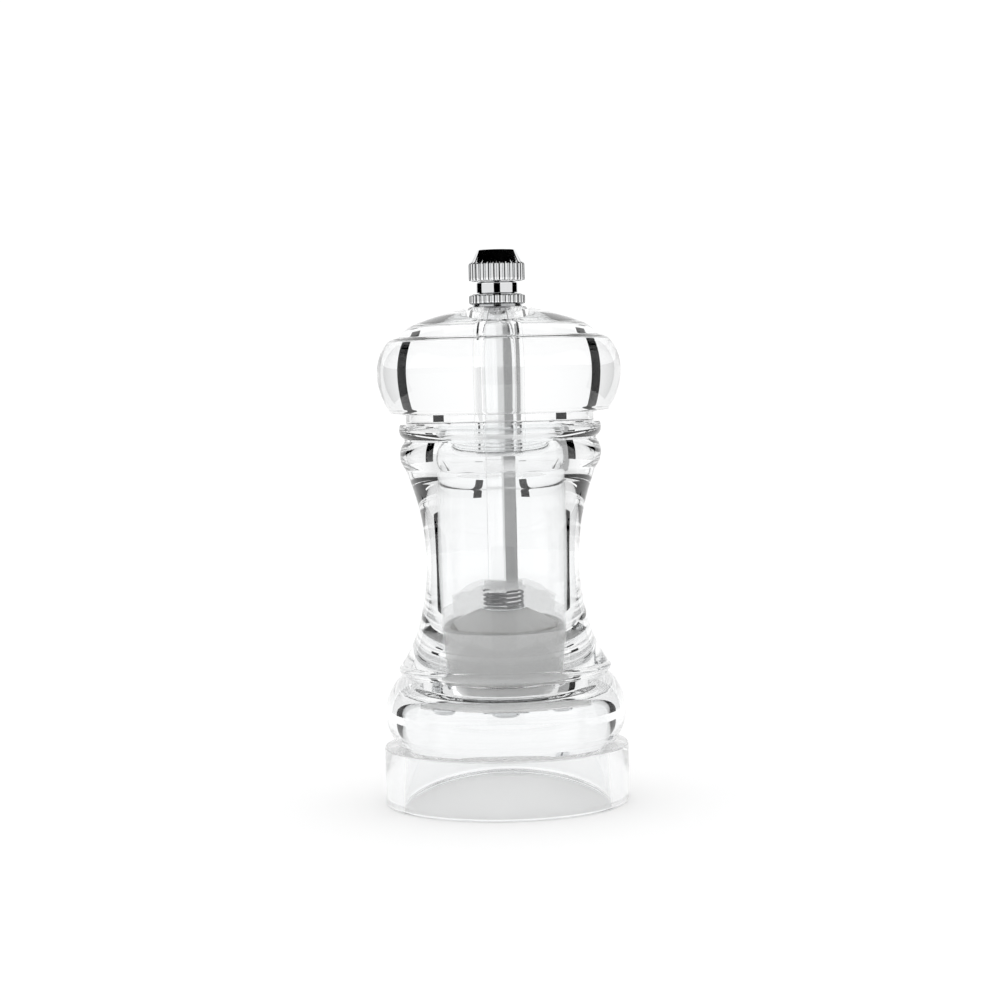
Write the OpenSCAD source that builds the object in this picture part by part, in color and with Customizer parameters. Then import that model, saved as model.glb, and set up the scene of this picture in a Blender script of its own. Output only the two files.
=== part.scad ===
// Clear acrylic pepper mill, 4 inch size, with a ceramic burr set.
// Millimetres, +Z up, origin at the centre of the foot's underside.
// Every section below is a half outline of (radius, height), turned about Z.

/* [Overall] */
// Diameter of the foot, the widest part of the mill
foot_d = 47; // [46.4:0.1:48]
// Height of the body, from the table to the parting line under the head
body_h = 73; // [72:0.5:74]
// Height of the top of the knob above the table
mill_h = 106; // [105.5:0.5:107]

/* [Body] */
// Diameter of the waist at its narrowest
waist_d = 29.4; // [28.6:0.1:31]
// Diameter of the bore that holds the pepper
bore_d = 24.8; // [24.6:0.1:25]
// Diameter of the recess under the foot
recess_d = 39.8; // [39:0.1:40]
// Height of the recess's ceiling, where the burr set is screwed on
ceiling_z = 21.6; // [21.2:0.1:22]

/* [Head] */
// Diameter of the head at its widest
head_d = 46.7; // [46:0.1:47]
// Length of the spigot that plugs into the body
spigot_len = 6.1; // [5:0.1:8]

/* [Spindle] */
// Width of the square spindle across its flats
shaft_w = 4.2; // [4:0.05:4.25]
// Pitch of the thread at the top of the spindle
thread_pitch = 0.7; // [0.5:0.05:0.8]

/* [Knob] */
// Diameter over the knob's knurled rings
knob_d = 10.9; // [10.6:0.1:11]
// Number of teeth round each knurled ring
knurl_teeth = 28; // [24:2:36]

/* [Burrs] */
// Number of grinding teeth on the ring burr
ring_teeth = 30; // [24:2:36]
// Number of coarse flutes on the cone burr
cone_flutes = 12; // [8:1:14]

/* [Hidden] */

$fn = 96;
eps = 0.01;
fit = 0.05;                       // radial running clearance

foot_r = foot_d / 2;
foot_h = 11.2;
waist_r = waist_d / 2;
waist_z = 46.5;
bore_r = bore_d / 2;
recess_r = recess_d / 2;
neck_r = 18.3;                    // body under its two top beads
head_r = head_d / 2;
collar_r = 18;                    // head's neck, resting on the body
collar_h = 2;
spigot_r = bore_r - 0.3;
head_bottom_z = body_h + collar_h;
head_top_z = 95.1;
knob_z = head_top_z + 0.4;        // underside of the knob, on its washer
shaft_gap_r = 3.3;                // hole through the head, round the spindle
bush_r = 5.75;                    // square-holed plate let into the head's top
bush_bottom_z = 91.7;
counterbore_r = 5.05;             // open pocket under it
counterbore_z = 86.5;

plate_t = 1.6;                    // retaining plate under the ceiling
plate_r = 16.4;
seat_gap = 0.1;                   // raised seat on the plate, inside the bore
sleeve_r = bore_r - 0.2;
sleeve_in_r = 10.7;
sleeve_top_z = 33;
stator_top_z = 31.5;
bridge_r = 12.1;
bridge_roof_z = 38;
bridge_top_z = 42.4;
bridge_seat_z = 41;               // underside of the bridge's hub
collar_journal_r = 3.6;
collar_flange_t = 0.6;
rotor_top_z = 36.2;
rotor_bottom_z = 19.6;
spring_washer_t = 0.4;
spring_wire = 0.5;
spring_r = 3.75;
spring_turns = 3.5;
screw_circle_r = 14.2;
screw_angle = 217;                // front left, and the second one opposite
pilot_r = 1.15;                   // holes for those screws in the ceiling
plate_hole_r = 1.3;
square_slip = 0.05;               // clearance of the square holes on the spindle
spindle_turn = 52;                // angle of the spindle's faces, and of what turns with it
stud_r = 1.95;                    // thread at the top of the spindle
stud_bore_r = 2.05;

acrylic = [0.93, 0.95, 0.96, 0.35];
steel = [0.72, 0.73, 0.75];
chrome = [0.86, 0.87, 0.88];
ceramic = [0.88, 0.87, 0.83];
white_plastic = [0.9, 0.9, 0.89];

// Points on the arc from a to b that bulges to its right by h (to its left if h is negative).
function bulge(a, b, h, n = 12) =
    let (chord = b - a,
         half = norm(chord) / 2,
         r = (half * half + h * h) / (2 * h),
         right = [chord[1], -chord[0]] / (2 * half),
         centre = (a + b) / 2 - right * (r - h),
         sweep = 2 * asin(half / r),
         start = atan2(a[1] - centre[1], a[0] - centre[0]))
    [for (i = [0:n]) let (t = start + sweep * i / n) centre + abs(r) * [cos(t), sin(t)]];

// Points on a rounded outer corner of radius r from a to b, which lie r apart along each axis.
function corner(a, b, r) = bulge(a, b, r * (1 - cos(45)), 5);

module turned(outline) {
    rotate_extrude() polygon(outline);
}

module cylinder_at(r, z0, z1) {
    translate([0, 0, z0]) cylinder(r = r, h = z1 - z0);
}

module ring(r_out, r_in, z0, z1) {
    difference() {
        cylinder_at(r_out, z0, z1);
        cylinder_at(r_in, z0 - 1, z1 + 1);
    }
}

// Square bar along Z, across flats w, turned so that two of its faces show.
module square_bar(w, z0, z1) {
    rotate(spindle_turn) translate([-w / 2, -w / 2, z0]) cube([w, w, z1 - z0]);
}

module at_screws() {
    for (side = [0, 180]) rotate(screw_angle + side) translate([screw_circle_r, 0, 0]) children();
}

module body_outline() {
    foot_edge = 0.8;
    bead_low = [foot_r - 2.2, foot_h + 0.8];
    bead_high = [foot_r - 3.6, foot_h + 13.7];
    ring_low = [foot_r - 3.7, bead_high[1] + 0.3];
    ring_high = [foot_r - 3.75, bead_high[1] + 2.1];
    cove_mid = [waist_r + 1.6, waist_z - 11.8];
    cove_high = [neck_r - 0.1, body_h - 9];
    roof_flat_r = 16.6;               // the recess's roof is flat this far out, then domed
    roof_drop = 4.5;
    polygon(concat(
        [[recess_r, 0.3], [recess_r + 0.3, 0]],
        corner([foot_r - foot_edge, 0], [foot_r, foot_edge], foot_edge),
        [[foot_r, foot_h - 0.3], [foot_r - 0.3, foot_h], [foot_r - 2.9, foot_h]],
        bulge(bead_low, bead_high, 2.52, 24),
        bulge(ring_low, ring_high, 0.65, 8),
        bulge(ring_high + [0, 0.1], cove_mid, -0.31, 12),
        bulge(cove_mid, [waist_r, waist_z], -0.41, 12),
        bulge([waist_r, waist_z], cove_high, -0.89, 20),
        bulge([neck_r, body_h - 8.6], [neck_r, body_h - 3.2], 1.0, 12),
        bulge([neck_r + 0.1, body_h - 2.8], [neck_r + 0.8, body_h], 0.6, 10),
        [[bore_r + 0.3, body_h], [bore_r, body_h - 0.3],
         [bore_r, ceiling_z + 0.3], [bore_r + 0.3, ceiling_z]],
        bulge([roof_flat_r, ceiling_z], [recess_r, ceiling_z - roof_drop], -1.1, 12)));
}

module body() {
    color(acrylic)
        difference() {
            rotate_extrude() body_outline();
            at_screws() cylinder_at(pilot_r, ceiling_z - 1, ceiling_z + 5);
        }
}

module head() {
    widest = [head_r, 83];
    shoulder = [head_r - 1.65, 88.2];
    dome_edge = [19.4, 89.5];
    dome_mid = [15.5, 92.3];
    spigot_z = body_h - spigot_len;
    spigot_edge = 1.2;
    color(acrylic)
        rotate_extrude() polygon(concat(
            [[shaft_gap_r, spigot_z]],
            corner([spigot_r - spigot_edge, spigot_z], [spigot_r, spigot_z + spigot_edge], spigot_edge),
            [[spigot_r, body_h], [collar_r - 0.2, body_h], [collar_r, body_h + 0.2],
             [collar_r, head_bottom_z]],
            corner([head_r - 3.35, head_bottom_z], [head_r - 2.05, head_bottom_z + 0.9], 1.1),
            bulge([head_r - 2.0, head_bottom_z + 1.0], widest, 0.52, 16),
            bulge(widest, shoulder, 0.42, 12),
            bulge(shoulder + [-0.05, 0.05], dome_edge, 0.35, 6),
            bulge(dome_edge + [-0.1, 0.05], dome_mid, 0.32, 10),
            bulge(dome_mid, [bush_r, head_top_z], 0.18, 12),
            [[bush_r, bush_bottom_z], [counterbore_r, bush_bottom_z],
             [counterbore_r, counterbore_z], [shaft_gap_r, counterbore_z]]));
}

// Pressed into the top of the head, and turns it with the square spindle.
module drive_bush() {
    color(steel)
        difference() {
            cylinder_at(bush_r, bush_bottom_z, head_top_z);
            square_bar(shaft_w + 2 * square_slip, bush_bottom_z - 1, head_top_z + 1);
        }
}

module knurled_ring(r, z0, z1) {
    depth = 0.28;
    points = [for (i = [0:knurl_teeth - 1]) for (k = [0, 1])
                  let (a = (i + k / 2) * 360 / knurl_teeth) (r - k * depth) * [cos(a), sin(a)]];
    translate([0, 0, z0]) linear_extrude(z1 - z0) polygon(points);
}

module knob() {
    r = knob_d / 2;
    root = r - 0.3;
    socket_top = knob_z + 1.6;
    thread_top = mill_h - 2.2;
    color(chrome)
        difference() {
            union() {
                rotate_extrude() polygon(concat(
                    [[0, knob_z], [root - 0.3, knob_z], [root, knob_z + 0.2], [root, knob_z + 1.9]],
                    bulge([root, knob_z + 1.95], [root, knob_z + 4.6], -1.3, 12),
                    [[root, mill_h - 2.4], [3.8, mill_h - 0.2], [3.6, mill_h], [0, mill_h]]));
                knurled_ring(r, knob_z + 0.2, knob_z + 1.85);
                knurled_ring(r, knob_z + 4.7, mill_h - 2.5);
            }
            cylinder_at(shaft_gap_r, knob_z - 1, socket_top);
            cylinder_at(stud_bore_r, knob_z - 1, thread_top);
        }
}

module knob_washer() {
    color(steel) ring(4.8, shaft_gap_r, head_top_z, knob_z);
}

// Square bar, threaded at the top for the knob and tapped at the bottom for its screw.
module shaft() {
    stud_z = knob_z + 0.6;
    stud_top = mill_h - 3.2;
    turns = floor((stud_top - stud_z - 1) / thread_pitch);
    thread = [for (i = [0:turns - 1]) each
                  [[stud_r - 0.35, stud_z + 0.6 + i * thread_pitch],
                   [stud_r, stud_z + 0.6 + (i + 0.5) * thread_pitch]]];
    color(steel) {
        difference() {
            square_bar(shaft_w, rotor_bottom_z + 0.2, stud_z);
            cylinder_at(1.3, rotor_bottom_z - 1, rotor_bottom_z + 7);
        }
        turned(concat([[0, stud_z - 1], [stud_r - 0.4, stud_z - 1], [stud_r - 0.4, stud_z + 0.3]],
                      thread,
                      [[stud_r - 0.4, stud_top - 0.3], [stud_r - 0.7, stud_top], [0, stud_top]]));
    }
}

module rotor_burr() {
    rotor_r = 8.55;
    hub_r = 4.3;
    feed_vanes = 6;
    vane_t = 1.6;
    color(ceramic)
        difference() {
            union() {
                difference() {
                    turned([[0, rotor_bottom_z], [rotor_r - 0.55, rotor_bottom_z], [rotor_r, 20.3],
                            [rotor_r, 21.3], [rotor_r - 0.35, 24], [rotor_r - 1.25, 27.5],
                            [rotor_r - 2.45, 31.5], [hub_r, 34], [hub_r, rotor_top_z],
                            [0, rotor_top_z]]);
                    for (i = [0:cone_flutes - 1])
                        rotate(i * 360 / cone_flutes) translate([rotor_r + 0.05, 0, rotor_bottom_z - 1])
                            rotate(45) translate([-0.7, -0.7, 0]) cube([1.4, 1.4, 14]);
                }
                for (i = [0:feed_vanes - 1])
                    rotate(i * 360 / feed_vanes + spindle_turn)
                        translate([0, vane_t / 2, 0]) rotate([90, 0, 0]) linear_extrude(vane_t)
                            polygon([[3.5, 31.5], [6.6, 32.3], [9.6, 33.7], [9.6, 34.3],
                                     [4.6, 35.9], [3.5, 35.9]]);
            }
            square_bar(shaft_w, rotor_bottom_z - 1, rotor_top_z + 1);
        }
}

module rotor_washer() {
    color(steel) ring(4.5, 1.6, rotor_bottom_z - 0.6, rotor_bottom_z);
}

// Pan-head screw standing on its head's underside at z, pointing up.
module pan_screw(z, head_r, head_h, shank_r, shank_len) {
    slot = 0.5;
    color(steel)
        difference() {
            turned(concat(
                [[0, z - head_h]],
                bulge([head_r * 0.45, z - head_h], [head_r, z - head_h * 0.3], head_h * 0.18, 6),
                [[head_r, z], [shank_r, z], [shank_r, z + shank_len - shank_r],
                 [shank_r * 0.3, z + shank_len], [0, z + shank_len]]));
            for (a = [0, 90])
                rotate(a) translate([-head_r * 0.5, -slot / 2, z - head_h - 1])
                    cube([head_r, slot, 1 + head_h * 0.6]);
        }
}

module rotor_screw() {
    pan_screw(rotor_bottom_z - 0.6, 2.7, 1.7, 1.2, 6.5);
}

// Coil spring as one closed sweep: a wire section carried up a helix round the spindle.
module spring() {
    z0 = rotor_top_z + spring_washer_t + spring_wire / 2;
    z1 = bridge_seat_z - collar_flange_t - spring_wire / 2;
    steps = round(spring_turns * 20);
    sides = 8;
    wire_r = spring_wire / 2 * 0.98;
    points = [for (i = [0:steps]) for (k = [0:sides - 1])
                  let (t = i / steps, a = t * spring_turns * 360, b = k * 360 / sides)
                  [(spring_r + wire_r * cos(b)) * cos(a), (spring_r + wire_r * cos(b)) * sin(a),
                   z0 + (z1 - z0) * t + wire_r * sin(b)]];
    walls = [for (i = [0:steps - 1]) for (k = [0:sides - 1])
                 let (a = i * sides + k, b = i * sides + (k + 1) % sides)
                 [a, a + sides, b + sides, b]];
    color(steel)
        polyhedron(points, concat(walls, [[for (k = [0:sides - 1]) k]],
                                  [[for (k = [sides - 1:-1:0]) steps * sides + k]]));
}

module spring_washer() {
    color(steel) ring(4.3, shaft_gap_r - 0.2, rotor_top_z, rotor_top_z + spring_washer_t);
}

// Turns in the bridge's hole with the spindle, and takes the spring's thrust.
module spindle_collar() {
    color(white_plastic)
        difference() {
            union() {
                cylinder_at(collar_journal_r, bridge_seat_z - eps, bridge_top_z);
                cylinder_at(4.4, bridge_seat_z - collar_flange_t, bridge_seat_z);
            }
            square_bar(shaft_w + 2 * square_slip, bridge_seat_z - 2, bridge_top_z + 1);
        }
}

// Hipped plastic cage over the burrs, with a window at each side that lets the pepper in.
module feed_bridge() {
    wall = 1.6;
    window_w = 11;
    window_h = 5.2;
    inner = bridge_r - wall;
    color(white_plastic)
        difference() {
            turned([[inner, sleeve_top_z], [bridge_r, sleeve_top_z], [bridge_r, bridge_roof_z - 0.3],
                    [bridge_r - 0.4, bridge_roof_z], [10.3, 39.1], [8.3, 40.2], [7.7, 40.9],
                    [5.9, 42], [4.9, bridge_top_z], [collar_journal_r + fit, bridge_top_z],
                    [collar_journal_r + fit, bridge_seat_z + eps], [4.6, bridge_seat_z + eps],
                    [5.4, 40.9], [7.4, 39.5], [9.4, 38.4], [inner, 37.4]]);
            for (side = [0, 180])
                rotate(side) translate([6, -window_w / 2, sleeve_top_z + 1])
                    cube([bridge_r, window_w, window_h]);
        }
}

// Sleeve in the bore that carries the ring burr, with the bridge on top.
module burr_housing() {
    color(white_plastic) ring(sleeve_r, sleeve_in_r, ceiling_z + seat_gap, sleeve_top_z);
}

module stator_burr() {
    bottom_z = ceiling_z + seat_gap;
    outer_r = sleeve_in_r - fit;
    throat_r = 8.7;                   // the narrowest radius
    color(ceramic)
        difference() {
            turned([[throat_r + 0.4, bottom_z], [outer_r, bottom_z], [outer_r, stator_top_z],
                    [throat_r + 1.4, stator_top_z], [throat_r + 0.1, 27.5], [throat_r, 24.8]]);
            for (i = [0:ring_teeth - 1])
                rotate(i * 360 / ring_teeth) translate([throat_r + 0.35, 0, bottom_z - 1])
                    rotate(45) translate([-0.4, -0.4, 0]) cube([0.8, 0.8, stator_top_z]);
        }
}

// Screwed to the recess's ceiling; holds the sleeve and the ring burr up in the bore.
module retaining_plate() {
    bottom_z = ceiling_z - plate_t;
    hole_r = 9.3;                     // the ground pepper falls through here
    color(white_plastic)
        difference() {
            turned([[hole_r, bottom_z], [plate_r - 0.4, bottom_z], [plate_r, bottom_z + 0.4],
                    [plate_r, ceiling_z], [bore_r - 0.3, ceiling_z],
                    [bore_r - 0.3, ceiling_z + seat_gap], [hole_r, ceiling_z + seat_gap]]);
            at_screws() cylinder_at(plate_hole_r, bottom_z - 1, ceiling_z + 1);
        }
}

module housing_screws() {
    at_screws() pan_screw(ceiling_z - plate_t, 2.1, 1.4, 1.05, 4.2);
}

body();
head();
drive_bush();
knob();
knob_washer();
shaft();
rotor_burr();
rotor_washer();
rotor_screw();
spring();
spring_washer();
spindle_collar();
feed_bridge();
burr_housing();
stator_burr();
retaining_plate();
housing_screws();
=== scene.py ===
"""Clear acrylic pepper mill: smooth turned acrylic, knurled chrome knob, ceramic burr set.

Outlines are (radius, height) points in millimetres, turned about the mill's axis.
"""
import math

import bpy
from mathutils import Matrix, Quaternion, Vector

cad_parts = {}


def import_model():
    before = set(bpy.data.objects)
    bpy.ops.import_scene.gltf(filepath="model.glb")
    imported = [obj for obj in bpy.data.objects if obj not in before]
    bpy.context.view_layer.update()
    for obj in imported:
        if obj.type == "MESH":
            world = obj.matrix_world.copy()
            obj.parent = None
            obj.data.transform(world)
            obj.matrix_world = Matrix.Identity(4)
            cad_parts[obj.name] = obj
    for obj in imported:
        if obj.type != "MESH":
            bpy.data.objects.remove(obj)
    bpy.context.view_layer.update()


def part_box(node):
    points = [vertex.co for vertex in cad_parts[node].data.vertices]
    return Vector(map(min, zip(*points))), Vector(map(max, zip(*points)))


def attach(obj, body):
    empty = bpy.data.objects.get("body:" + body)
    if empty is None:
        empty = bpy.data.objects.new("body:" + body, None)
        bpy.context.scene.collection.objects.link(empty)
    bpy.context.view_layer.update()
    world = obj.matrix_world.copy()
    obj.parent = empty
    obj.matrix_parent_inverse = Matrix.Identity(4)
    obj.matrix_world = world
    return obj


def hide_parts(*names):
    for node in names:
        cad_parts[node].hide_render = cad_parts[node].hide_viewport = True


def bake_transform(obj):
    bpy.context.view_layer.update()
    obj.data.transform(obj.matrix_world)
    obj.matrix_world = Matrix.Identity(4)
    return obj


MM = 0.001
TURN = 2 * math.pi

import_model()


def top_of(node):
    """Height of a CAD node's top, in millimetres."""
    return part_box(node)[1].z / MM


def bottom_of(node):
    """Height of a CAD node's underside, in millimetres."""
    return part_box(node)[0].z / MM


def radius_of(node):
    """Largest radius of a CAD node, in millimetres."""
    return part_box(node)[1].x / MM


# sizes that the frame gives
FOOT_R = radius_of("body")
BODY_H = top_of("body")
HEAD_R = radius_of("head")
KNOB_R = radius_of("knob")
MILL_H = top_of("knob")
KNOB_Z = bottom_of("knob")
HEAD_TOP = bottom_of("knob_washer")
SPIGOT_Z = bottom_of("head")
SEAT_Z = bottom_of("burr_housing")
CEILING_Z = SEAT_Z - 0.1  # ceiling of the foot's recess, just under the burr housing
PLATE_Z = bottom_of("retaining_plate")
PLATE_R = radius_of("retaining_plate")
SLEEVE_R = radius_of("burr_housing")
SLEEVE_TOP = top_of("burr_housing")
STATOR_R = radius_of("stator_burr")
STATOR_TOP = top_of("stator_burr")
BRIDGE_R = radius_of("feed_bridge")
BRIDGE_TOP = top_of("feed_bridge")
ROTOR_TOP = top_of("rotor_burr")
ROTOR_BOTTOM = bottom_of("rotor_burr")
SHAFT_BOTTOM = bottom_of("shaft")
SHAFT_TOP = top_of("shaft")
COLLAR_BOTTOM = bottom_of("spindle_collar")
BUSH_R = radius_of("drive_bush")
BUSH_BOTTOM = bottom_of("drive_bush")

# sizes that the boxes of the CAD nodes don't show
WAIST_R = 14.7
WAIST_Z = 46.5
BORE_R = 12.4
RECESS_R = 19.9
ROOF_FLAT_R = 16.6
ROOF_DROP = 4.5
SPIGOT_R = 12.1
SPIGOT_EDGE = 1.2
HEAD_NECK_R = 18.0
SHAFT_GAP_R = 3.3
COUNTERBORE_R = 5.05
COUNTERBORE_Z = 86.5
SLEEVE_IN_R = 10.7
SHAFT_W = 4.2
STUD_R = 1.95
THREAD_PITCH = 0.7
SPINDLE_TURN = math.radians(52)
SQUARE_HOLE_W = SHAFT_W + 0.1
HOLE_CORNER_R = 0.7 * SQUARE_HOLE_W
NEAR_AXIS_R = 0.02  # a closed outline stops this far from the axis
SCREW_CIRCLE_R = 14.2
SCREW_ANGLE = math.radians(217)


# ---------------------------------------------------------------- outlines

def arc(a, b, h, n):
    """Points from a to b on an arc that bulges to the right by h, or to the left if h is negative."""
    ax, ay = a
    bx, by = b
    half = math.hypot(bx - ax, by - ay) / 2
    r = (half * half + h * h) / (2 * h)
    right = ((by - ay) / (2 * half), -(bx - ax) / (2 * half))
    centre = ((ax + bx) / 2 - right[0] * (r - h), (ay + by) / 2 - right[1] * (r - h))
    sweep = 2 * math.asin(half / r)
    start = math.atan2(ay - centre[1], ax - centre[0])
    return [
        (centre[0] + abs(r) * math.cos(start + sweep * i / n),
         centre[1] + abs(r) * math.sin(start + sweep * i / n))
        for i in range(n + 1)
    ]


def rounded(a, b, r, n):
    """A rounded outer corner from a to b, which lie r apart along each axis."""
    return arc(a, b, r * (1 - math.cos(math.pi / 4)), n)


def straight(a, b, n):
    """n + 1 evenly spaced points from a to b."""
    return [(a[0] + (b[0] - a[0]) * i / n, a[1] + (b[1] - a[1]) * i / n) for i in range(n + 1)]


def washer_outline(r_in, r_out, z0, z1, edge=0.12):
    """A flat ring with its four edges broken."""
    return (
        rounded((r_out - edge, z0), (r_out, z0 + edge), edge, 3)
        + rounded((r_out, z1 - edge), (r_out - edge, z1), edge, 3)
        + [(r_in + edge, z1), (r_in, z1 - edge), (r_in, z0 + edge), (r_in + edge, z0)]
    )


def body_outline():
    foot_h = 11.2
    edge = 0.8
    bead_low = (FOOT_R - 2.2, foot_h + 0.8)
    bead_high = (FOOT_R - 3.6, foot_h + 13.7)
    ring_low = (FOOT_R - 3.7, bead_high[1] + 0.3)
    ring_high = (FOOT_R - 3.75, bead_high[1] + 2.1)
    cove_mid = (WAIST_R + 1.6, WAIST_Z - 11.8)
    cove_high = (18.2, BODY_H - 9)
    rim_in = (BORE_R, BODY_H - 0.3)
    return (
        rounded((RECESS_R, 0.3), (RECESS_R + 0.3, 0), -0.3, 4)
        + rounded((FOOT_R - edge, 0), (FOOT_R, edge), edge, 8)
        + rounded((FOOT_R, foot_h - 0.3), (FOOT_R - 0.3, foot_h), 0.3, 4)
        + [(FOOT_R - 2.9, foot_h)]
        + arc(bead_low, bead_high, 2.52, 48)
        + arc(ring_low, ring_high, 0.65, 12)
        + arc((ring_high[0], ring_high[1] + 0.1), cove_mid, -0.31, 24)
        + arc(cove_mid, (WAIST_R, WAIST_Z), -0.41, 24)[1:]
        + arc((WAIST_R, WAIST_Z), cove_high, -0.89, 40)[1:]
        + arc((18.3, BODY_H - 8.6), (18.3, BODY_H - 3.2), 1.0, 20)
        + arc((18.4, BODY_H - 2.8), (19.1, BODY_H), 0.6, 14)
        + [(BORE_R + 0.3, BODY_H), rim_in, (BORE_R, CEILING_Z + 0.3), (BORE_R + 0.3, CEILING_Z)]
        + arc((ROOF_FLAT_R, CEILING_Z), (RECESS_R, CEILING_Z - ROOF_DROP), -1.1, 24)
    )


def head_outline():
    bottom = BODY_H + 2
    widest = (HEAD_R, 83)
    shoulder = (HEAD_R - 1.65, 88.2)
    dome_edge = (19.4, 89.5)
    dome_mid = (15.5, 92.3)
    pocket_r = BUSH_R + 0.02
    return (
        [(SHAFT_GAP_R, SPIGOT_Z)]
        + rounded((SPIGOT_R - SPIGOT_EDGE, SPIGOT_Z), (SPIGOT_R, SPIGOT_Z + SPIGOT_EDGE), SPIGOT_EDGE, 10)
        + [(SPIGOT_R, BODY_H), (HEAD_NECK_R - 0.2, BODY_H), (HEAD_NECK_R, BODY_H + 0.2),
           (HEAD_NECK_R, bottom)]
        + rounded((HEAD_R - 3.35, bottom), (HEAD_R - 2.05, bottom + 0.9), 1.1, 8)
        + arc((HEAD_R - 2.0, bottom + 1.0), widest, 0.52, 28)
        + arc(widest, shoulder, 0.42, 24)[1:]
        + arc((shoulder[0] - 0.05, shoulder[1] + 0.05), dome_edge, 0.35, 10)
        + arc((dome_edge[0] - 0.1, dome_edge[1] + 0.05), dome_mid, 0.32, 20)
        + arc(dome_mid, (pocket_r, HEAD_TOP), 0.18, 24)[1:]
        + [(pocket_r, BUSH_BOTTOM), (COUNTERBORE_R, BUSH_BOTTOM), (COUNTERBORE_R, COUNTERBORE_Z),
           (SHAFT_GAP_R, COUNTERBORE_Z)]
    )


# ---------------------------------------------------------------- mesh makers

def finish_mesh(name, verts, faces, sharp_deg=32):
    """An object of these vertices (in mm) and faces, smooth except over edges sharper than sharp_deg."""
    mesh = bpy.data.meshes.new(name)
    mesh.from_pydata([Vector(v) * MM for v in verts], [], faces)
    mesh.validate()
    mesh.polygons.foreach_set("use_smooth", [True] * len(mesh.polygons))
    mesh.set_sharp_from_angle(angle=math.radians(sharp_deg))
    obj = bpy.data.objects.new(name, mesh)
    bpy.context.scene.collection.objects.link(obj)
    return obj


def turned(name, outline, segments=256, shape=None, phase=0.0, centre=(0, 0), sharp_deg=32):
    """Turns an outline about Z: a closed one listed counter-clockwise, or one from axis to axis.

    shape(r, z, angle) may change the radius, with the angle counted from phase.
    """
    open_ends = outline[0][0] == 0
    middle = outline[1:-1] if open_ends else outline
    n = len(middle)
    verts = []
    for s in range(segments):
        angle = TURN * s / segments
        c, t = math.cos(angle + phase), math.sin(angle + phase)
        for r, z in middle:
            rr = shape(r, z, angle) if shape else r
            verts.append((centre[0] + rr * c, centre[1] + rr * t, z))
    faces = []
    for s in range(segments):
        t = (s + 1) % segments
        for i in range(n - 1 if open_ends else n):
            j = (i + 1) % n
            faces.append((s * n + i, t * n + i, t * n + j, s * n + j))
    if open_ends:
        for (_, z), row in ((outline[0], 0), (outline[-1], n - 1)):
            pole = len(verts)
            verts.append((*centre, z))
            for s in range(segments):
                a, b = s * n + row, (s + 1) % segments * n + row
                faces.append((pole, b, a) if row == 0 else (pole, a, b))
    return finish_mesh(name, verts, faces, sharp_deg)


def square(angle, half, edge):
    """Radius at this angle of a square of half-width half, with its corners rounded by edge."""
    a = (angle + math.pi / 4) % (math.pi / 2) - math.pi / 4
    if half * math.tan(abs(a)) <= half - edge:
        return half / math.cos(a)
    c = half - edge
    return c * (math.cos(a) + math.sin(abs(a))) + math.sqrt(
        max(0.0, edge * edge - (c * (math.cos(a) - math.sin(abs(a)))) ** 2))


def square_hole(r, z, angle):
    """Shape of a ring whose inner wall, at a radius below the hole's corner, is the spindle's square."""
    return r if r > HOLE_CORNER_R else square(angle, r, 0.2)


def cut(obj, *cutters):
    """Cuts the cutters out of obj and removes them."""
    for cutter in cutters:
        mod = obj.modifiers.new("cut", "BOOLEAN")
        mod.operation = "DIFFERENCE"
        mod.solver = "EXACT"
        mod.object = cutter
    graph = bpy.context.evaluated_depsgraph_get()
    mesh = bpy.data.meshes.new_from_object(obj.evaluated_get(graph))
    obj.modifiers.clear()
    obj.data = mesh
    mesh.set_sharp_from_angle(angle=math.radians(32))
    for cutter in cutters:
        bpy.data.objects.remove(cutter, do_unlink=True)


def block(x, y, z, turn, origin=(0, 0)):
    """A cutting block with these (low, high) extents, turned about a vertical line through origin."""
    corners = [(a, b, c) for c in z for b in y for a in x]
    spin = Quaternion((0, 0, 1), turn)
    verts = [spin @ Vector(v) + Vector((*origin, 0)) for v in corners]
    faces = [(0, 2, 3, 1), (4, 5, 7, 6), (0, 1, 5, 4), (2, 6, 7, 3), (0, 4, 6, 2), (1, 3, 7, 5)]
    return finish_mesh("block", verts, faces)


def place(obj, body, material, slot, *nodes):
    """Gives a piece its material and CAD body; it stands for these CAD nodes. The slot argument is not
    used.
    """
    obj.data.materials.clear()
    obj.data.materials.append(material)
    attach(obj, body)
    if nodes:
        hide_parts(*nodes)
    return obj


# ---------------------------------------------------------------- materials

def new_material(name):
    mat = bpy.data.materials.new(name)
    mat.use_nodes = True
    nodes = mat.node_tree.nodes
    return mat, nodes, mat.node_tree.links, nodes["Principled BSDF"]


def object_coords(nodes, links, scale):
    """Object coordinates stretched by scale, the three numbers being per metre."""
    coords = nodes.new("ShaderNodeTexCoord")
    mapping = nodes.new("ShaderNodeMapping")
    mapping.inputs["Scale"].default_value = scale
    links.new(coords.outputs["Object"], mapping.inputs["Vector"])
    return mapping.outputs["Vector"]


def noise(nodes, links, vector, scale, detail, rough=0.55):
    tex = nodes.new("ShaderNodeTexNoise")
    tex.inputs["Scale"].default_value = scale
    tex.inputs["Detail"].default_value = detail
    tex.inputs["Roughness"].default_value = rough
    links.new(vector, tex.inputs["Vector"])
    return tex.outputs["Fac"]


def ramp(nodes, links, fac, low, high, start=0.3, end=0.7):
    node = nodes.new("ShaderNodeMapRange")
    node.inputs["From Min"].default_value = start
    node.inputs["From Max"].default_value = end
    node.inputs["To Min"].default_value = low
    node.inputs["To Max"].default_value = high
    links.new(fac, node.inputs["Value"])
    return node.outputs["Result"]


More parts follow.
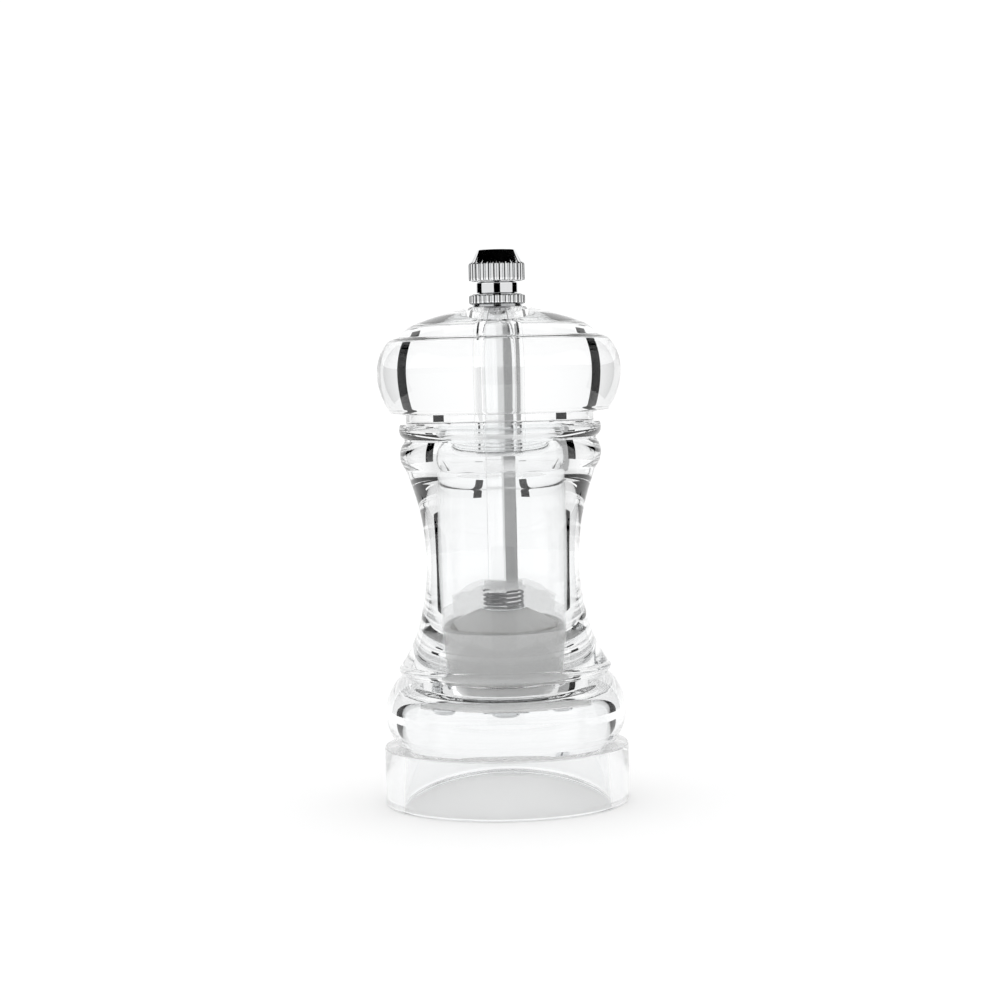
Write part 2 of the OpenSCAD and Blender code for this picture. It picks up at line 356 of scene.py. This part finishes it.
def mix_colour(nodes, links, fac, a, b):
    node = nodes.new("ShaderNodeMix")
    node.data_type = "RGBA"
    node.inputs["A"].default_value = (*a, 1)
    node.inputs["B"].default_value = (*b, 1)
    links.new(fac, node.inputs["Factor"])
    return node.outputs["Result"]


def translucent(bsdf, weight, depth):
    """Lets light spread this far, in metres, under the surface."""
    bsdf.inputs["Subsurface Weight"].default_value = weight
    bsdf.inputs["Subsurface Radius"].default_value = (1, 1, 1)
    bsdf.inputs["Subsurface Scale"].default_value = depth


def bump(nodes, links, bsdf, height, strength, distance):
    node = nodes.new("ShaderNodeBump")
    node.inputs["Strength"].default_value = strength
    node.inputs["Distance"].default_value = distance
    links.new(height, node.inputs["Height"])
    links.new(node.outputs["Normal"], bsdf.inputs["Normal"])


def acrylic_material():
    """Polished clear acrylic with the faint turning marks and haze that a buffed lathe part keeps."""
    mat, nodes, links, bsdf = new_material("acrylic")
    bsdf.inputs["IOR"].default_value = 1.49
    bsdf.inputs["Transmission Weight"].default_value = 1.0
    vector = object_coords(nodes, links, (1, 1, 1))
    haze = noise(nodes, links, vector, 60, 3)
    links.new(ramp(nodes, links, haze, 0.0, 0.012), bsdf.inputs["Roughness"])
    links.new(mix_colour(nodes, links, haze, (0.955, 0.962, 0.965), (0.965, 0.970, 0.972)),
              bsdf.inputs["Base Color"])
    rings = object_coords(nodes, links, (20, 20, 900))
    bump(nodes, links, bsdf, noise(nodes, links, rings, 1.0, 2), 0.02, 0.00002)
    return mat


def steel_material(name, colour, stretch, low, high):
    """Drawn or turned steel: fine lines, and a roughness that varies from low to high."""
    mat, nodes, links, bsdf = new_material(name)
    bsdf.inputs["Metallic"].default_value = 1.0
    lines = noise(nodes, links, object_coords(nodes, links, stretch), 1.0, 6, 0.6)
    patches = noise(nodes, links, object_coords(nodes, links, (1, 1, 1)), 120, 3)
    links.new(ramp(nodes, links, patches, low, high), bsdf.inputs["Roughness"])
    dark = tuple(c * 0.86 for c in colour)
    links.new(mix_colour(nodes, links, lines, dark, colour), bsdf.inputs["Base Color"])
    bump(nodes, links, bsdf, lines, 0.2, 0.00001)
    return mat


def chrome_material():
    mat, nodes, links, bsdf = new_material("chrome")
    bsdf.inputs["Metallic"].default_value = 1.0
    smudge = noise(nodes, links, object_coords(nodes, links, (1, 1, 1)), 240, 4)
    links.new(ramp(nodes, links, smudge, 0.02, 0.06), bsdf.inputs["Roughness"])
    links.new(mix_colour(nodes, links, smudge, (0.86, 0.87, 0.88), (0.95, 0.955, 0.96)),
              bsdf.inputs["Base Color"])
    bump(nodes, links, bsdf, smudge, 0.02, 0.00002)
    return mat


def ceramic_material():
    """Fired, unglazed ceramic: warm white with a fine grain."""
    mat, nodes, links, bsdf = new_material("ceramic")
    vector = object_coords(nodes, links, (1, 1, 1))
    cloud = noise(nodes, links, vector, 150, 4)
    grain = noise(nodes, links, vector, 4200, 3)
    links.new(mix_colour(nodes, links, cloud, (0.965, 0.955, 0.93), (0.985, 0.975, 0.955)),
              bsdf.inputs["Base Color"])
    links.new(ramp(nodes, links, grain, 0.35, 0.55), bsdf.inputs["Roughness"])
    translucent(bsdf, 0.6, 0.004)
    bump(nodes, links, bsdf, grain, 0.05, 0.00001)
    return mat


def plastic_material(name, low, high, alpha):
    """Moulded plastic with a fine moulded grain and a cloudy colour; alpha below 1 lets light through."""
    mat, nodes, links, bsdf = new_material(name)
    bsdf.inputs["IOR"].default_value = 1.49
    bsdf.inputs["Alpha"].default_value = alpha
    vector = object_coords(nodes, links, (1, 1, 1))
    cloud = noise(nodes, links, vector, 180, 4)
    fine = noise(nodes, links, vector, 2600, 3)
    links.new(mix_colour(nodes, links, cloud, low, high), bsdf.inputs["Base Color"])
    links.new(ramp(nodes, links, fine, 0.2, 0.32), bsdf.inputs["Roughness"])
    translucent(bsdf, 0.5, 0.003)
    bump(nodes, links, bsdf, fine, 0.1, 0.00003)
    return mat


ACRYLIC = acrylic_material()
CHROME = chrome_material()
CERAMIC = ceramic_material()
WHITE = plastic_material("white_plastic", (0.96, 0.955, 0.94), (0.985, 0.98, 0.97), 1.0)
MILKY = plastic_material("milky_plastic", (0.93, 0.935, 0.94), (0.97, 0.975, 0.98), 0.13)
SPINDLE_STEEL = steel_material("spindle_steel", (0.92, 0.92, 0.92), (2600, 2600, 60), 0.08, 0.18)
BRIGHT_STEEL = steel_material("bright_steel", (0.80, 0.81, 0.82), (300, 300, 2600), 0.1, 0.22)
BUSH_STEEL = steel_material("bush_steel", (0.20, 0.20, 0.21), (300, 300, 2600), 0.14, 0.28)
SPRING_STEEL = steel_material("spring_steel", (0.11, 0.11, 0.12), (900, 900, 900), 0.2, 0.35)


# ---------------------------------------------------------------- acrylic

place(turned("acrylic_body", body_outline()), "base", ACRYLIC, "acrylic", "body")
place(turned("acrylic_head", head_outline()), "head", ACRYLIC, "acrylic", "head")


# ---------------------------------------------------------------- knob

def knob():
    teeth = 28
    root = KNOB_R - 0.05
    waist = root - 1.3
    cone_r = 3.85
    thread_r = 2.05
    low_ring = (KNOB_Z + 0.25, KNOB_Z + 1.8)
    high_ring = (KNOB_Z + 4.6, MILL_H - 2.6)
    socket = KNOB_Z + 1.6
    thread_top = MILL_H - 2.2
    outline = (
        [(SHAFT_GAP_R, KNOB_Z), (root - 0.6, KNOB_Z), (root - 0.35, KNOB_Z + 0.15)]
        + straight((root, low_ring[0]), (root, low_ring[1]), 8)
        + [(root - 0.35, low_ring[1] + 0.12)]
        + arc((root - 0.36, low_ring[1] + 0.2), (waist, low_ring[1] + 0.5), -0.1, 10)
        + straight((waist, low_ring[1] + 0.6), (waist, high_ring[0] - 0.6), 12)
        + arc((waist, high_ring[0] - 0.5), (root - 0.36, high_ring[0] - 0.2), -0.2, 10)
        + [(root - 0.35, high_ring[0] - 0.12)]
        + straight((root, high_ring[0]), (root, high_ring[1]), 12)
        + [(root - 0.4, high_ring[1] + 0.25), (cone_r, MILL_H - 0.2)]
        + arc((cone_r - 0.03, MILL_H - 0.15), (cone_r - 0.25, MILL_H), 0.05, 4)
        + [(NEAR_AXIS_R, MILL_H), (NEAR_AXIS_R, thread_top), (thread_r, thread_top), (thread_r, socket),
           (SHAFT_GAP_R, socket)]
    )

    def knurl(r, z, angle):
        """Convex straight ridges with narrow grooves between them, over the two rings."""
        if r < root - 0.05:
            return r
        u = (teeth * angle / TURN) % 1.0 * 2 - 1
        groove = 1 - math.sqrt(max(0.0, 1 - u * u * 0.98))
        to_ring_end = min(abs(z - e) for e in (*low_ring, *high_ring))
        return r - 0.36 * groove - (0.07 if to_ring_end < 0.02 else 0.0)

    nut = turned("chrome_knob", outline, teeth * 16, knurl, sharp_deg=38)
    place(nut, "knob", CHROME, "chrome", "knob")


knob()


# ---------------------------------------------------------------- spindle

def helix_cut(z, angle, top, depth):
    """How far a thread's groove cuts in at this height and angle, fading out at its top."""
    u = (z / THREAD_PITCH - angle / TURN) % 1.0
    return depth * abs(2 * u - 1) * min(1.0, max(0.0, (top - z) / THREAD_PITCH))


def shaft():
    half, edge = SHAFT_W / 2, 0.28
    stud_z = KNOB_Z + 0.6
    thread_end = SHAFT_TOP - 0.4
    outline = (
        [(0, SHAFT_BOTTOM), (half - 0.3, SHAFT_BOTTOM), (half, SHAFT_BOTTOM + 0.3)]
        + straight((half, SHAFT_BOTTOM + 1), (half, stud_z - 0.3), 30)
        + [(half - 0.1, stud_z - 0.05), (STUD_R, stud_z)]
        + straight((STUD_R, stud_z + 0.1), (STUD_R, thread_end), 72)
        + [(STUD_R - 0.4, SHAFT_TOP), (0, SHAFT_TOP)]
    )

    def section(r, z, angle):
        if z < stud_z - 0.01:
            return square(angle, r, edge)
        if r < STUD_R:
            return r
        return r - helix_cut(z, angle, thread_end, 0.35)

    bar = turned("square_spindle", outline, 256, section, SPINDLE_TURN, sharp_deg=40)
    place(bar, "spindle", SPINDLE_STEEL, "spindle_steel", "shaft")


def pan_screw(name, centre, z, head_r, head_h, shank_r, shank_len, turn):
    """A cross-recessed pan-head screw, its head's flat face at z, pointing up."""
    tip = z + shank_len
    outline = (
        [(0, z - head_h)]
        + arc((head_r * 0.35, z - head_h), (head_r, z - head_h * 0.28), head_h * 0.2, 10)
        + [(head_r, z - 0.1), (head_r - 0.1, z), (shank_r, z)]
        + straight((shank_r, z + 0.05), (shank_r, tip - shank_r), 60)
        + straight((shank_r, tip - shank_r), (shank_r * 0.2, tip), 8)[1:]
        + [(0, tip)]
    )

    def thread(r, z_at, angle):
        if z_at < z + 0.3 or r > shank_r:
            return r
        return r - helix_cut(z_at, angle, tip - 0.2, shank_r * 0.3)

    screw = turned(name, outline, 48, thread, turn, centre, 36)
    long, wide = head_r * 0.5, 0.2
    deep = (z - head_h - 1, z - head_h * 0.45)
    cut(screw,
        block((-long, long), (-wide, wide), deep, turn, centre),
        block((-wide, wide), (-long, long), deep, turn, centre))
    return screw


def rotor_burr():
    """Cone burr: helical grinding flutes below, and six sloping ribs that feed the pepper above."""
    flutes, ribs = 14, 6
    foot_z, fan_z, rim_z, hub_z = 20.3, 31.2, 32.6, 36.0
    cone_r, neck_r, rim_r, hub_r = 8.55, 6.7, 10.3, 4.7
    hole = SQUARE_HOLE_W / 2
    outline = (
        [(hole + 0.15, ROTOR_BOTTOM), (cone_r - 0.85, ROTOR_BOTTOM), (cone_r - 0.55, ROTOR_BOTTOM + 0.15)]
        + straight((cone_r, foot_z), (cone_r, foot_z + 1), 3)
        + arc((cone_r - 0.05, foot_z + 1.3), (neck_r, fan_z), -0.25, 36)
        + straight((neck_r + 0.1, fan_z + 0.1), (rim_r - 0.2, rim_z), 10)
        + straight((rim_r, rim_z + 0.2), (rim_r, rim_z + 0.5), 3)
        + straight((rim_r - 0.2, rim_z + 0.65), (hub_r, hub_z), 16)
        + [(hub_r - 0.3, ROTOR_TOP), (hole + 0.15, ROTOR_TOP)]
        + straight((hole, ROTOR_TOP - 0.15), (hole, ROTOR_BOTTOM + 0.15), 2)
    )

    def relief(r, z, angle):
        if r < HOLE_CORNER_R:
            return square_hole(r, z, angle)
        if z < ROTOR_BOTTOM + 0.1 or z > hub_z - 0.05:
            return r
        if z <= fan_z:
            u = (flutes * (angle / TURN + (z - ROTOR_BOTTOM) * 0.012)) % 1.0
            coarse = min(1.0, max(0.0, (z - foot_z - 1.2) / 6))
            return r - (0.3 + 0.5 * coarse) * (1 - u) * min(1.0, 6 * u)
        wave = math.cos(ribs * (angle + (z - fan_z) * 0.05))
        valley = min(1.0, max(0.0, 0.5 - 1.6 * wave))
        return r - 0.12 * valley * max(0.0, r - hub_r - 0.5)

    burr = turned("cone_burr", outline, 336, relief, SPINDLE_TURN, sharp_deg=40)
    place(burr, "spindle", CERAMIC, "ceramic", "rotor_burr")


def spring():
    turns, wire_r, coil_r = 3.5, 0.25, 3.75
    z0 = ROTOR_TOP + 0.4 + wire_r
    z1 = COLLAR_BOTTOM - wire_r
    steps, sides = 280, 14
    verts = []
    for i in range(steps + 1):
        t = i / steps
        angle = turns * TURN * t
        for k in range(sides):
            b = TURN * k / sides
            r = coil_r + wire_r * math.cos(b)
            z = z0 + (z1 - z0) * t + wire_r * math.sin(b)
            verts.append((r * math.cos(angle), r * math.sin(angle), z))
    faces = [
        (i * sides + k, (i + 1) * sides + k, (i + 1) * sides + (k + 1) % sides, i * sides + (k + 1) % sides)
        for i in range(steps) for k in range(sides)
    ]
    faces.append(tuple(range(sides)))
    faces.append(tuple(steps * sides + k for k in reversed(range(sides))))
    obj = finish_mesh("spring_coil", verts, faces, 60)
    obj.data.materials.append(SPRING_STEEL)
    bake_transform(obj)
    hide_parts("spring")


def washers():
    for node, body, r_in, r_out in (
        ("knob_washer", "knob", SHAFT_GAP_R, 4.8),
        ("rotor_washer", "spindle", 1.6, 4.5),
        ("spring_washer", "spindle", SHAFT_GAP_R - 0.2, 4.3),
    ):
        outline = washer_outline(r_in, r_out, bottom_of(node), top_of(node))
        place(turned("steel_" + node, outline, 96), body, BRIGHT_STEEL, "bright_steel", node)


shaft()
rotor_burr()
spring()
washers()
place(
    pan_screw("rotor_retaining_screw", (0, 0), bottom_of("rotor_washer"),
              head_r=2.7, head_h=1.7, shank_r=1.2, shank_len=6.5, turn=0.3),
    "spindle", BRIGHT_STEEL, "bright_steel", "rotor_screw")


# ---------------------------------------------------------------- fixed parts round the burrs

def drive_bush():
    hole = SQUARE_HOLE_W / 2
    outline = (
        rounded((BUSH_R - 0.2, BUSH_BOTTOM), (BUSH_R, BUSH_BOTTOM + 0.2), 0.2, 3)
        + rounded((BUSH_R, HEAD_TOP - 0.2), (BUSH_R - 0.2, HEAD_TOP), 0.2, 3)
        + [(hole + 0.15, HEAD_TOP), (hole, HEAD_TOP - 0.15), (hole, BUSH_BOTTOM + 0.15),
           (hole + 0.15, BUSH_BOTTOM)]
    )
    bush = turned("square_holed_bush", outline, 192, square_hole, SPINDLE_TURN)
    place(bush, "head", BUSH_STEEL, "bright_steel", "drive_bush")


def spindle_collar():
    journal_r, flange_r = 3.6, 4.4
    seat = COLLAR_BOTTOM + 0.6
    hole = SQUARE_HOLE_W / 2
    outline = (
        rounded((flange_r - 0.15, COLLAR_BOTTOM), (flange_r, COLLAR_BOTTOM + 0.15), 0.15, 3)
        + [(flange_r, seat), (journal_r, seat)]
        + rounded((journal_r, BRIDGE_TOP - 0.15), (journal_r - 0.15, BRIDGE_TOP), 0.15, 3)
        + [(hole + 0.1, BRIDGE_TOP), (hole, BRIDGE_TOP - 0.1), (hole, COLLAR_BOTTOM + 0.1),
           (hole + 0.1, COLLAR_BOTTOM)]
    )
    collar = turned("collar_on_spindle", outline, 192, square_hole, SPINDLE_TURN)
    place(collar, "carriage", MILKY, "white_plastic", "spindle_collar")


def feed_bridge():
    """Hipped cage over the burrs, open at each side for the pepper."""
    wall, hub_r, seat_z, eaves_z = 1.6, 3.65, 41.0, 38.0
    inner = BRIDGE_R - wall
    window_x, window_y, window_z = (6.0, 16.0), (-5.5, 5.5), (SLEEVE_TOP + 1, SLEEVE_TOP + 6.2)
    outline = (
        [(inner, SLEEVE_TOP), (BRIDGE_R, SLEEVE_TOP)]
        + rounded((BRIDGE_R, eaves_z - 0.4), (BRIDGE_R - 0.4, eaves_z), 0.4, 4)
        + [(10.3, 39.1), (8.3, 40.2), (7.7, 40.9)]
        + arc((7.55, 41.05), (5.9, 42.0), 0.05, 6)
        + [(4.9, BRIDGE_TOP), (hub_r, BRIDGE_TOP), (hub_r, seat_z), (4.6, seat_z)]
        + [(5.4, 40.9), (7.4, 39.5), (9.4, 38.4), (inner, 37.4)]
    )
    bridge = turned("feed_cage", outline, 192)
    windows = [block(window_x, window_y, window_z, turn) for turn in (0, math.pi)]
    cut(bridge, *windows)
    place(bridge, "base", MILKY, "white_plastic", "feed_bridge")


def burr_housing():
    outline = washer_outline(SLEEVE_IN_R, SLEEVE_R, SEAT_Z, SLEEVE_TOP, 0.2)
    place(turned("burr_sleeve", outline, 192), "base", WHITE, "white_plastic", "burr_housing")


def stator_burr():
    teeth, throat_r = 30, 8.7
    throat_low, throat_high = 24.8, 27.5
    outline = (
        [(throat_r + 0.4, SEAT_Z), (STATOR_R, SEAT_Z), (STATOR_R, STATOR_TOP - 0.2),
         (STATOR_R - 0.2, STATOR_TOP)]
        + straight((throat_r + 1.4, STATOR_TOP), (throat_r + 0.1, throat_high), 12)
        + straight((throat_r + 0.1, throat_high), (throat_r, throat_low), 8)[1:]
        + straight((throat_r, throat_low), (throat_r + 0.4, SEAT_Z + 0.1), 8)[1:]
    )

    def grooves(r, z, angle):
        if r > throat_r + 1.6 or z <= SEAT_Z:
            return r
        u = (teeth * (angle / TURN - (z - SEAT_Z) * 0.006)) % 1.0
        return r + 0.3 * (1 - u) * min(1.0, 6 * u)

    ring = turned("ring_burr", outline, 360, grooves, sharp_deg=40)
    place(ring, "base", CERAMIC, "ceramic", "stator_burr")


def screw_centres():
    """Centres of the two housing screws, on opposite sides of the axis."""
    return [
        (SCREW_CIRCLE_R * math.cos(SCREW_ANGLE + side), SCREW_CIRCLE_R * math.sin(SCREW_ANGLE + side))
        for side in (0, math.pi)
    ]


def retaining_plate():
    hole_r, screw_hole_r, boss_r = 9.3, 1.3, BORE_R - 0.3
    outline = (
        [(hole_r, PLATE_Z)]
        + rounded((PLATE_R - 0.4, PLATE_Z), (PLATE_R, PLATE_Z + 0.4), 0.4, 5)
        + [(PLATE_R, CEILING_Z - 0.02), (boss_r, CEILING_Z - 0.02), (boss_r, SEAT_Z), (hole_r, SEAT_Z)]
    )
    plate = turned("burr_retaining_plate", outline, 192)
    drill_outline = washer_outline(NEAR_AXIS_R, screw_hole_r, PLATE_Z - 1, SEAT_Z + 1)
    drills = [turned("drill", drill_outline, 32, centre=centre) for centre in screw_centres()]
    cut(plate, *drills)
    place(plate, "base", WHITE, "white_plastic", "retaining_plate")


def housing_screws():
    screws = [
        pan_screw("housing_screw_%d" % (i + 1), centre, PLATE_Z,
                  head_r=2.1, head_h=1.4, shank_r=1.05, shank_len=4.2, turn=0.4 + i)
        for i, centre in enumerate(screw_centres())
    ]
    for screw in screws:
        place(screw, "base", BRIGHT_STEEL, "bright_steel")
    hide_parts("housing_screws")


drive_bush()
spindle_collar()
feed_bridge()
burr_housing()
stator_burr()
retaining_plate()
housing_screws()


# ---------------------------------------------------------------- studio

def emitter(name, level):
    mat, _, _, bsdf = new_material(name)
    bsdf.inputs["Base Color"].default_value = (0, 0, 0, 1)
    bsdf.inputs["Specular IOR Level"].default_value = 0
    bsdf.inputs["Emission Color"].default_value = (1, 1, 1, 1)
    bsdf.inputs["Emission Strength"].default_value = level
    return mat


def seen_only_by(obj, ray):
    """Hides a stage piece from every kind of ray but one, transmission or glossy."""
    for other in ("camera", "diffuse", "glossy", "transmission", "shadow"):
        setattr(obj, "visible_" + other, other == ray)


def card(name, azimuth_deg, half_deg, distance, heights, level, ray):
    """An upright card round the mill, seen only through the acrylic or only in reflections.

    The azimuth counts from behind the mill, and is positive to the camera's right.
    """
    low, high = heights
    arcs = [math.radians(azimuth_deg + half_deg * side) for side in (-1, 1)]
    feet = [(distance * math.sin(a), distance * math.cos(a)) for a in arcs]
    verts = [(*feet[0], low), (*feet[1], low), (*feet[1], high), (*feet[0], high)]
    obj = finish_mesh(name, verts, [(0, 1, 2, 3)])
    obj.data.materials.append(emitter(name, level))
    seen_only_by(obj, ray)


def level_panel(name, x, y, z):
    """A level rectangle with these (low, high) extents, at height z."""
    verts = [(x[0], y[0], z), (x[1], y[0], z), (x[1], y[1], z), (x[0], y[1], z)]
    return finish_mesh(name, verts, [(0, 1, 2, 3)])


def overhead():
    """The black ceiling that the knob's cone reflects."""
    obj = level_panel("overhead", (-480, 480), (-450, 60), 405)
    obj.data.materials.append(emitter("overhead", 0.0))
    seen_only_by(obj, "glossy")


def cards():
    """Cards that draw the acrylic's dark lines and the knob's bars, and that shade the spindle's faces."""
    close, near, far = 40, 60, 220
    for side in (-1, 1):
        card("head_band", side * 11.3, 2.1, close, (69.5, 110), 0.0, "transmission")
        card("bore_line", side * 65.5, 8.5, near, (14, 70), 0.0, "transmission")
        card("knob_bar", side * 68, 22, far, (2, 400), 0.0, "glossy")
    card("camera_bar", 180, 17, far, (2, 400), 0.0, "glossy")
    card("spindle_right", 76, 14, far, (2, 170), 0.38, "transmission")
    card("spindle_left", -104, 14, far, (2, 170), 1.3, "transmission")


def floor():
    """A pale table top, large enough to run out of sight."""
    half = 3000
    obj = level_panel("floor", (-half, half), (-half, half), 0)
    mat, _, _, bsdf = new_material("floor")
    bsdf.inputs["Base Color"].default_value = (0.95, 0.95, 0.95, 1)
    bsdf.inputs["Roughness"].default_value = 0.6
    bsdf.inputs["Specular IOR Level"].default_value = 0.0
    bsdf.inputs["Emission Color"].default_value = (1, 1, 1, 1)
    bsdf.inputs["Emission Strength"].default_value = 0.26
    obj.data.materials.append(mat)


def world():
    """A white light tent, brightest behind the mill."""
    w = bpy.data.worlds.new("studio")
    bpy.context.scene.world = w
    w.use_nodes = True
    nodes, links = w.node_tree.nodes, w.node_tree.links
    background = nodes["Background"]
    background.inputs["Color"].default_value = (1, 1, 1, 1)
    coords = nodes.new("ShaderNodeTexCoord")
    split = nodes.new("ShaderNodeSeparateXYZ")
    links.new(coords.outputs["Generated"], split.inputs["Vector"])
    links.new(ramp(nodes, links, split.outputs["Y"], 0.84, 1.06, 0.5, 1.0), background.inputs["Strength"])


def camera():
    """At the height of the head, looking slightly down and rolled a little."""
    data = bpy.data.cameras.new("camera")
    data.lens = 88.8
    data.sensor_width = 36
    data.clip_start, data.clip_end = 0.01, 20
    obj = bpy.data.objects.new("camera", data)
    bpy.context.scene.collection.objects.link(obj)
    obj.location = (-0.0003, -0.473, 0.084)
    pitch, roll = math.radians(3.13), math.radians(-1.25)
    view = Vector((0, math.cos(pitch), -math.sin(pitch))).to_track_quat("-Z", "Y")
    obj.rotation_mode = "QUATERNION"
    obj.rotation_quaternion = view @ Quaternion((0, 0, 1), roll)
    bpy.context.scene.camera = obj


cards()
overhead()
floor()
world()
camera()

scene = bpy.context.scene
scene.view_settings.view_transform = "Standard"
scene.cycles.max_bounces = 48
scene.cycles.transmission_bounces = 48
scene.cycles.glossy_bounces = 48
scene.cycles.diffuse_bounces = 14
scene.cycles.transparent_max_bounces = 32
